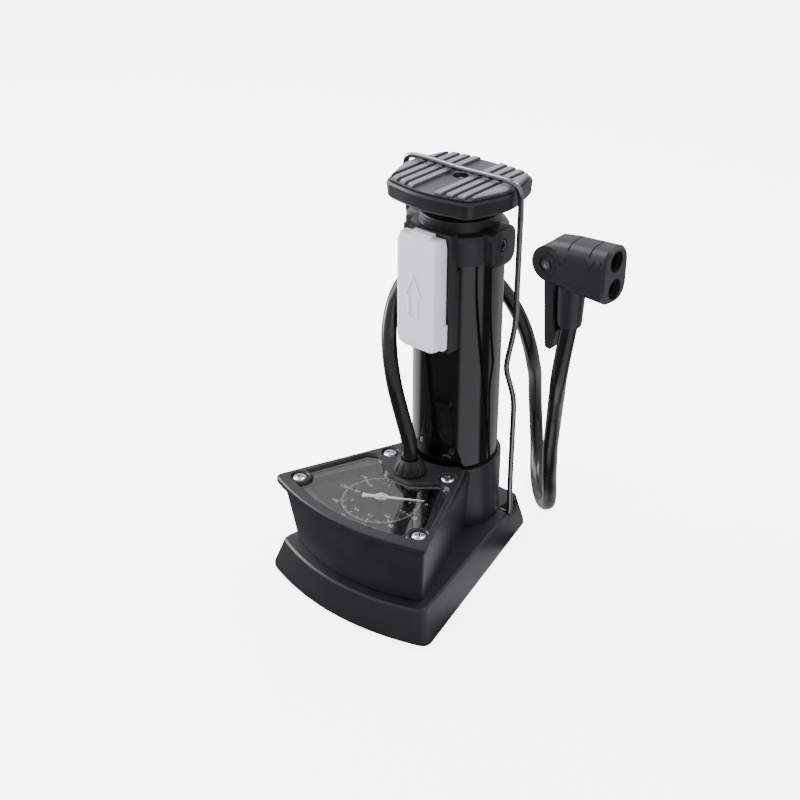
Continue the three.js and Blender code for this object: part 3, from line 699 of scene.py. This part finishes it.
def make_dial():
    plate = prism("dial_face", fan(38.6, -77.6, -87.3, 20.5, -43.5, 3), 51.5, DIAL_TOP)
    cut(plate, cylinder("bore", 1.4, 40, 60, 24, 0, DIAL_Y))
    piece(plate, "pump", "dial_print", ["dial_plate"], bevel=0.1)
    verts, faces = [], []

    def bar(angle, r0, r1, width):
        c, s = math.cos(angle), math.sin(angle)
        first = len(verts)
        for z in (DIAL_TOP + 0.01, DIAL_TOP + 0.06):
            for r, w in ((r0, -width), (r1, -width), (r1, width), (r0, width)):
                verts.append((r * c - w * s, DIAL_Y + r * s + w * c, z))
        a = [first + k for k in range(8)]
        faces.extend([(a[3], a[2], a[1], a[0]), (a[4], a[5], a[6], a[7])])
        for k in range(4):
            j = (k + 1) % 4
            faces.append((a[k], a[j], a[4 + j], a[4 + k]))

    start, sweep, steps = 30, -270, 80
    for k in range(steps + 1):
        a = math.radians(start + sweep * k / steps)
        if k % 10 == 0:
            bar(a, 18.0, 21.4, 0.2)
        elif k % 5 == 0:
            bar(a, 18.8, 21.0, 0.14)
        else:
            bar(a, 19.6, 20.8, 0.08)
        if k < steps:
            bar(a + math.radians(sweep / steps / 2), 20.7, 20.85, 0.62)
    marks = mesh_object("dial_marks", verts, faces)
    piece(marks, "pump", "pointer_paint")
    marks.data.materials[0] = MATS["dial_ink"]
    number_rows = [(24.0, 2.9, 20), (15.2, 2.6, 1.4)]
    count = 0
    for radius, size, unit in number_rows:
        for k in range(9):
            a = math.radians(start + sweep * k / 8)
            x, y = radius * math.cos(a), DIAL_Y + radius * math.sin(a)
            if y > -45.5:
                continue
            text = bpy.data.curves.new("number", "FONT")
            text.body = f"{k * unit:g}"
            text.size = size * MM
            text.extrude = 0.02 * MM
            text.align_x = "CENTER"
            text.align_y = "CENTER"
            label = bpy.data.objects.new("number", text)
            bpy.context.scene.collection.objects.link(label)
            bpy.context.view_layer.update()
            data = bpy.data.meshes.new_from_object(label.evaluated_get(bpy.context.evaluated_depsgraph_get()))
            bpy.data.objects.remove(label)
            number = bpy.data.objects.new(f"dial_number_{count}", data)
            count += 1
            bpy.context.scene.collection.objects.link(number)
            moved(number, x, y, DIAL_TOP + 0.04)
            data.materials.clear()
            data.materials.append(MATS["dial_ink"])
            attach(number, "pump")


def make_pointer():
    shape = outline(
        [
            (-10, -1.9, 0.4),
            (-6.5, -1.0, 1),
            (-3.2, -1.2, 0.6),
            (-2.2, -2.7, 1.2),
            (2.2, -2.7, 1.2),
            (3.6, -0.9, 0.8),
            (23, -0.35, 0),
            (23, 0.35, 0),
            (3.6, 0.9, 0.8),
            (2.2, 2.7, 1.2),
            (-2.2, 2.7, 1.2),
            (-3.2, 1.2, 0.6),
            (-6.5, 1.0, 1),
            (-10, 1.9, 0.4),
        ]
    )
    needle = prism("gauge_needle", shape, 54, 54.6)
    join(needle, lathe("hub", [(0, 53.6), (2.3, 53.6), (2.3, 55.3), (1.4, 55.9), (0, 55.9)], 48))
    cut(needle, lathe("bore", [(0, 50), (1, 50), (1, 55.4), (0, 55.4)], 24))
    turned_to(needle, "Z", math.radians(30))
    moved(needle, 0, DIAL_Y, 0)
    piece(needle, "needle", "pointer_paint", ["pointer"], bevel=0.12, segments=2)


def make_gland():
    def flutes(angle, r, z):
        if 61.0 < z < 67.5:
            return r * (1 - 0.075 * max(0, -math.cos(12 * angle)) ** 2)
        return r

    foot = [(3, 60.3), (8.5, 60.3), (8.75, 60.7), (8.75, 61.0), (8.7, 61.5)]
    dome = [(8.5, 62.6), (8.15, 63.8), (7.6, 65.0), (6.9, 66.2), (6.2, 67.1), (5.7, 67.5)]
    lip = [(5.5, 67.8), (5.2, 68.0), (4.6, 67.9), (4.5, 67.6), (4.5, 62.7), (3, 62.7)]
    boot = lathe("gland_boot", [*foot, *dome, *lip], 168, 0, GLAND_Y, True, flutes)
    piece(boot, "pump", "black_rubber", ["hose_gland"], soft=50)


make_base()
make_housing()
make_cover()
make_dial()
make_pointer()
make_gland()


# ---------------------------------------------------------------- barrel and cap
def make_barrel():
    inner = BARREL_R - 2
    profile = [(inner, 26.3), (BARREL_R, 26.3), (BARREL_R, 188.5), (inner, 188.5)]
    piece(lathe("barrel_tube", profile, 160, closed=True), "pump", "black_enamel", ["barrel"], bevel=0.3)


def ear(side):
    """A rounded lug on the cap's side, side 1 for the right and -1 for the left."""

    def face(inset):
        y, low, high = 10 - inset, -12.5 + inset, 7.5 - inset
        return outline([(-y, low, 7), (y, low, 7), (y, high, 5), (-y, high, 5)], 10)

    steps = ((15 - EAR_X, 0), (-2.6, 0), (-1.2, 0.5), (-0.3, 1.6), (0, 2.8))
    layers = [(EAR_X + out, face(inset)) for out, inset in steps]
    if side < 0:
        layers = [(-z, points) for z, points in layers][::-1]
    return facing_x(loft("lug", layers), 0, EAR_Y + 2.5, EAR_Z)


def make_cap():
    r = BARREL_R + 0.3
    profile = [
        (9.4, 179),
        (BARREL_R - 2.3, 179),
        (BARREL_R - 2.3, 189),
        (r, 189),
        (r, 176),
        (r + 1.3, 176),
        (r + 1.5, 188),
        (r + 1.3, 189.6),
        (r + 0.4, 191),
        (NECK_R + 1.6, 191.9),
        (NECK_R + 0.5, 192.3),
        (NECK_R + 0.2, 193),
        (NECK_R, NECK_TOP - 0.8),
        (NECK_R - 0.25, NECK_TOP - 0.25),
        (NECK_R - 0.8, NECK_TOP),
        (9.4, NECK_TOP),
    ]
    cap = lathe("barrel_cap", profile, 128, closed=True)
    for s in (-1, 1):
        lug = ear(s)
        cut(lug, cylinder("bore", r, 170, 189, 128))
        cut(lug, cylinder("bore", 9.4, 189, 199, 64))
        join(cap, lug)
        cut(cap, along_x("hole", 1.5, s * EAR_X - 6, s * EAR_X + 6, EAR_Y, EAR_Z, 24))
        seat = sorted((s * (EAR_X - 1), s * (EAR_X + 5)))
        cut(cap, along_x("seat", 3.5, *seat, EAR_Y, EAR_Z, 48))
    piece(cap, "pump", "black_plastic", ["top_cap"], bevel=0.45, angle=30)


make_barrel()
make_cap()


# ---------------------------------------------------------------- pedal
def pedal(inset):
    i = inset
    return outline(
        [
            (0, -32.8 + i, 12),
            (26 - i * 0.8, -27.8 + i, 4),
            (33.8 - i, -6, 5),
            (33.2 - i, 4, 5),
            (27.5 - i * 0.8, 24.2 - i, 4),
            (0, 28.2 - i, 12),
            (-27.5 + i * 0.8, 24.2 - i, 4),
            (-33.2 + i, 4, 5),
            (-33.8 + i, -6, 5),
            (-26 + i * 0.8, -27.8 + i, 4),
        ],
        12,
    )


RIBS = [(-33, 7.8), (-22.2, 3.4), (-16.2, 3.4), (-10.2, 3.4), (6.8, 3.4), (12.8, 3.4), (18.8, 3.4), (24.8, 9)]


def make_pedal():
    deck = loft(
        "pedal_deck",
        [
            (PEDAL_BOTTOM, pedal(1.2)),
            (PEDAL_BOTTOM + 1.2, pedal(0.4)),
            (PEDAL_TOP - 1.2, pedal(0)),
            (PEDAL_TOP, pedal(0.5)),
        ],
    )
    foot = NECK_TOP + 2
    head = PEDAL_BOTTOM + 1
    boss = [(0, foot), (NECK_R - 2, foot), (NECK_R, foot + 2), (NECK_R + 0.5, head), (0, head)]
    join(deck, lathe("boss", boss))
    cut(deck, cylinder("bore", 5.3, 190, PEDAL_BOTTOM + 2.3, 48))
    cut(deck, cylinder("bore", 2.7, 190, 230, 32))
    cut(deck, cylinder("bore", WELL_R, PEDAL_TOP - 2.5, 230, 48))
    cut(deck, cylinder("bore", 11.5, 190, NECK_TOP + 2.6, 64))
    piece(deck, "pedal", "black_plastic", ["pedal_body"], bevel=0.6, angle=22)
    low = PEDAL_TOP + 0.3
    pad = prism("tread", pedal(1.6), low, low + 0.7)
    for x, w in RIBS:
        rib = block("rib", x, x + w, -40, 40, low + 0.1, RIB_TOP)
        layers = [(low, pedal(1.6)), (RIB_TOP - 0.6, pedal(2.0)), (RIB_TOP + 0.05, pedal(3.0))]
        combine(rib, [loft("field", layers)], "INTERSECT")
        join(pad, rib)
    cut(pad, cylinder("bore", WELL_R, 200, 230, 48))
    piece(pad, "pedal", "tread_rubber", ["tread_pad"], bevel=0.28, segments=2, angle=28)


make_pedal()


# ---------------------------------------------------------------- wire bail
def make_bail():
    leg = [
        (14, 13, 18),
        (22, 13, 18),
        (27.6, 13, 18),
        (29.3, 13, 18.8),
        (30, 12.9, 21),
        (30.6, 11.5, 40),
        (31.8, 9.6, 70),
        (32.6, 8.2, 92),
        (32, 7.8, 98),
        (28.4, 7, 110),
        (27.9, 6.8, 114),
        (28.6, 6.5, 119),
        (33, 5.2, 140),
        (34.4, 3.6, 165),
        (35.6, 1.8, 190),
        (36.3, 0.6, 209),
        (36, 0.2, 213),
        (34.5, 0, 216.4),
        (31.7, 0, 218),
    ]
    path = catmull([*leg, (0, 0, 218), *[(-x, y, z) for x, y, z in reversed(leg)]], 6)
    piece(rod("bail", path, 1.5, 24), "bail", "dark_chrome", ["bail_wire"], soft=60)


make_bail()


# ---------------------------------------------------------------- storage case
def case_shape(x, front, back, r):
    return outline([(-x, front, r), (x, front, r), (x, back, 0.3), (-x, back, 0.3)])


def make_case():
    plate = block("case_rail", -15, 15, -26.4, -18, 130, 194)
    cut(plate, cylinder("bore", BARREL_R + 0.3, 100, 220, 128))
    cut(plate, cylinder("bore", BARREL_R + 2.2, 174, 220, 128))
    piece(plate, "pump", "black_plastic", ["case_holder"], bevel=0.5)
    x, front, back = 13.3, -34.5, -26.8
    shell = loft(
        "case_box",
        [
            (131, case_shape(x - 4, front + 1.5, back, 2)),
            (133, case_shape(x - 1, front + 0.3, back, 2.4)),
            (136, case_shape(x, front, back, 2.6)),
            (188, case_shape(x, front, back, 2.6)),
            (192, case_shape(x - 0.8, front + 1.6, back, 2.2)),
        ],
    )
    cut(shell, prism("hollow", case_shape(x - 1.2, front + 1.3, back + 1, 1), 132.7, 190.8))
    arrow = [(0, 172), (5.4, 160), (3.1, 160), (3.1, 149), (-3.1, 149), (-3.1, 160), (-5.4, 160)]
    inner = [(0, 170.2), (4.2, 160.7), (2.4, 160.7), (2.4, 149.7)]
    inner += [(-x, z) for x, z in reversed(inner[1:])]
    raised = prism("arrow", arrow[::-1], 0, 0.9)
    cut(raised, prism("inner", inner[::-1], -1, 2))
    turned_to(raised, "X", math.pi / 2)
    join(shell, moved(raised, -1.9, front + 0.3, 0))
    join(shell, block("line", -10.3, 8.1, front - 0.5, front + 0.4, 143.9, 144.6))
    join(shell, block("tab", -6.3, 6.3, -31.2, -27.1, 190.5, 193.6))
    join(shell, block("ledge", -x - 0.9, x + 0.9, -30.6, back, 133, 146.5))
    piece(shell, "case", "case_plastic", ["case_cover"], bevel=0.45, angle=28)


make_case()


# ---------------------------------------------------------------- pump head
def head_section(half_y, half_z, r):
    y, z = half_y, half_z
    return outline([(-y, -z, r), (y, -z, r), (y, z, r), (-y, z, r)], 12)


def make_head():
    length = HEAD_FRONT_X - PIVOT_X
    layers = [
        (0, head_section(9, 11, 7)),
        (8, head_section(9.6, 12.2, 8)),
        (length - 1.5, head_section(9.8, 13.6, 8.6)),
        (length, head_section(8.8, 12.6, 8)),
    ]
    head = facing_x(loft("head_shell", layers), PIVOT_X, HEAD_Y, HEAD_Z)
    join(head, along_y("boss", 8.6, HEAD_Y - 9, HEAD_Y + 9, PIVOT_X, HEAD_Z, 96))
    stem = [(0, STEM_BOTTOM), (5.6, STEM_BOTTOM), (5.9, STEM_BOTTOM + 1.5)]
    stem += [(6.7, HEAD_Z - 12), (6.7, HEAD_Z), (0, HEAD_Z)]
    join(head, lathe("stem", stem, 64, STEM_X, HEAD_Y))
    for dz in (6.7, -6.7):
        cut(head, along_x("port", 5, HEAD_FRONT_X - 10, HEAD_FRONT_X + 10, HEAD_Y, HEAD_Z + dz))
    slot = 4.6
    cut(head, block("slot", 50, PIVOT_X + 7, HEAD_Y - slot, HEAD_Y + slot, HEAD_Z - 20, HEAD_Z + 7))
    cut(head, block("slot", 50, STEM_X - 6.8, HEAD_Y - slot, HEAD_Y + slot, 150, HEAD_Z - 8))
    cut(head, along_y("pin_hole", 1.8, HEAD_Y - 20, HEAD_Y + 20, PIVOT_X, HEAD_Z, 24))
    cut(head, cylinder("bore", 2, STEM_BOTTOM - 5, STEM_BOTTOM + 12, 24, STEM_X, HEAD_Y))
    depth = 0.45
    for x in (82, 93.5):
        rear, front = ((9.5, 12.2), (9.7, 12.9))
        layers = [(z, head_section(w - depth, h - depth, 8)) for z, (w, h) in ((-1, rear), (1, front))]
        core = facing_x(loft("core", layers), x, HEAD_Y, HEAD_Z)
        ring = block("ring", x - 0.3, x + 0.3, HEAD_Y - 12, HEAD_Y + 12, HEAD_Z + 9.2, HEAD_Z + 16)
        cut(head, cut(ring, core))
    seam = [(74.8, 211), (75.3, 206), (76.5, 202.4), (78.5, 198), (80.6, 199)]
    seam += [(82.9, 205.2), (90.3, 206.3), (94.3, 199.8), (99.5, 209.8)]
    line = [(x, z + 0.3) for x, z in seam] + [(x, z - 0.3) for x, z in reversed(seam)]
    for side in (-1, 1):
        groove = turned_to(prism("groove", line[::-1], -2, 2), "X", math.pi / 2)
        cut(head, moved(groove, 0, HEAD_Y + side * (9.6 - depth + 2), 0))
        ends = sorted((HEAD_Y + side * 9.2, HEAD_Y + side * 12))
        cut(head, along_y("dot", 0.6, *ends, 100, 204.4, 20))
        ends = sorted((HEAD_Y + side * 8.5, HEAD_Y + side * 9.5))
        ring = along_y("ring", 5.2, *ends, PIVOT_X, HEAD_Z, 64)
        cut(ring, along_y("core", 4.2, HEAD_Y - 12, HEAD_Y + 12, PIVOT_X, HEAD_Z, 64))
        join(head, ring)
    piece(head, "pump", "black_plastic", ["head_body"], bevel=0.3, angle=30)


def make_lever():
    half = 4.2
    lever = along_y("lever_channel", 6.2, HEAD_Y - half, HEAD_Y + half, PIVOT_X, HEAD_Z)
    outer = [(-5, 0, 0), (-4.1, -14, 8), (-2.4, -39, 3), (-1.8, -45, 1)]
    inner = [(1.6, -45.6, 1), (2.6, -38, 2), (0.6, -14, 8), (3, 0, 0)]
    arm = turned_to(prism("arm", outline([*outer, *inner]), 0, 2 * half), "X", math.pi / 2)
    moved(arm, PIVOT_X, HEAD_Y + half, HEAD_Z)
    join(lever, arm)
    channel = block("channel", -3, 3, -2.7, 2.7, -12, 12)
    turned_to(channel, "Y", -0.05)
    cut(lever, moved(channel, PIVOT_X + 1.1, HEAD_Y, HEAD_Z - 24.5))
    cut(lever, along_y("pin_hole", 1.8, HEAD_Y - 20, HEAD_Y + 20, PIVOT_X, HEAD_Z, 24))
    piece(lever, "lever", "black_plastic", ["thumb_lever"], bevel=0.4, angle=30)


def make_pin():
    pin = along_y("pivot_pin", 1.5, HEAD_Y - 9.4, HEAD_Y + 9.4, PIVOT_X, HEAD_Z, 32)
    join(pin, along_y("pin_head", 2.1, HEAD_Y - 10.2, HEAD_Y - 9.2, PIVOT_X, HEAD_Z, 48))
    cut(pin, along_y("recess", 1.35, HEAD_Y - 12, HEAD_Y - 9.6, PIVOT_X, HEAD_Z, 32))
    piece(pin, "pump", "steel", ["lever_pin"], bevel=0.15)


make_head()
make_lever()
make_pin()


# ---------------------------------------------------------------- floor and light
def make_floor():
    """White paper, evenly bright to the camera; glossy surfaces see a painted reflection instead of the
    paper: glowing bands round the object that stand in for soft boxes and flags.
    """
    far = 6000
    corners = [(-far, -far, 0), (far, -far, 0), (far, far, 0), (-far, far, 0)]
    floor = mesh_object("floor", corners, [(0, 1, 2, 3)])
    m = material("floor_paper_and_painted_reflection", (0.9, 0.9, 0.9), 0.8, mottle=0.004, patch=2, Specular_IOR_Level=0.0)
    tree = m.node_tree
    coord = tree.nodes.new("ShaderNodeTexCoord")
    # Painted reflection: a radial sweep of grey and white bands that glows only for glossy rays, standing in
    # for soft boxes and flags mirrored in glossy parts.
    sweep = tree.nodes.new("ShaderNodeTexGradient")
    sweep.gradient_type = "RADIAL"
    tree.links.new(coord.outputs["Object"], sweep.inputs["Vector"])
    ramp = tree.nodes.new("ShaderNodeValToRGB")
    reflection_bands = [(0.0, 1.0), (0.05, 0.9), (0.08, 0.1), (0.365, 0.08), (0.39, 0.85), (0.52, 0.8)]
    reflection_bands += [(0.54, 0.06), (0.595, 0.06), (0.61, 0.5), (0.71, 0.5), (0.75, 0.3), (0.86, 0.35), (0.9, 1.0)]
    elements = ramp.color_ramp.elements
    for at, level in reflection_bands[1:-1]:
        elements.new(at)
    for element, (at, level) in zip(elements, reflection_bands):
        element.position = at
        element.color = (level, level, level * 1.04, 1)
    tree.links.new(sweep.outputs["Fac"], ramp.inputs["Fac"])
    painted_reflection = tree.nodes.new("ShaderNodeEmission")
    tree.links.new(ramp.outputs["Color"], painted_reflection.inputs["Color"])
    painted_reflection.inputs["Strength"].default_value = 1.5
    path = tree.nodes.new("ShaderNodeLightPath")
    mix = tree.nodes.new("ShaderNodeMixShader")
    out = next(n for n in tree.nodes if n.type == "OUTPUT_MATERIAL")
    shader = next(n for n in tree.nodes if n.type == "BSDF_PRINCIPLED")
    tree.links.new(path.outputs["Is Glossy Ray"], mix.inputs["Fac"])
    tree.links.new(shader.outputs["BSDF"], mix.inputs[1])
    tree.links.new(painted_reflection.outputs["Emission"], mix.inputs[2])
    paper = tree.nodes.new("ShaderNodeEmission")
    paper.inputs["Strength"].default_value = 5
    sheet = tree.nodes.new("ShaderNodeAddShader")
    tree.links.new(shader.outputs["BSDF"], sheet.inputs[0])
    tree.links.new(paper.outputs["Emission"], sheet.inputs[1])
    seen = tree.nodes.new("ShaderNodeMixShader")
    tree.links.new(path.outputs["Is Camera Ray"], seen.inputs["Fac"])
    tree.links.new(mix.outputs["Shader"], seen.inputs[1])
    tree.links.new(sheet.outputs["Shader"], seen.inputs[2])
    tree.links.new(seen.outputs["Shader"], out.inputs["Surface"])
    floor.data.materials.append(m)


def area_light(name, at, toward, size, size_y, energy):
    data = bpy.data.lights.new(name, "AREA")
    data.shape = "RECTANGLE"
    data.size, data.size_y = size, size_y
    data.energy = energy
    lamp = bpy.data.objects.new(name, data)
    bpy.context.scene.collection.objects.link(lamp)
    lamp.location = at
    lamp.rotation_euler = (Vector(toward) - Vector(at)).to_track_quat("-Z", "Y").to_euler()


def make_light():
    world = bpy.data.worlds.new("studio")
    world.use_nodes = True
    background = world.node_tree.nodes["Background"]
    background.inputs["Color"].default_value = (1, 1, 1, 1)
    background.inputs["Strength"].default_value = 1.0
    bpy.context.scene.world = world
    area_light("key", (-0.9, -0.1, 1.1), (0, 0, 0.1), 0.9, 0.9, 16)
    area_light("top", (0.1, 0.5, 1.2), (0, 0, 0.1), 0.8, 0.5, 12)
    area_light("left", (-0.85, -0.35, 0.32), (0, -0.05, 0.08), 0.5, 0.45, 8)


make_floor()
make_light()

bpy.context.view_layer.update()
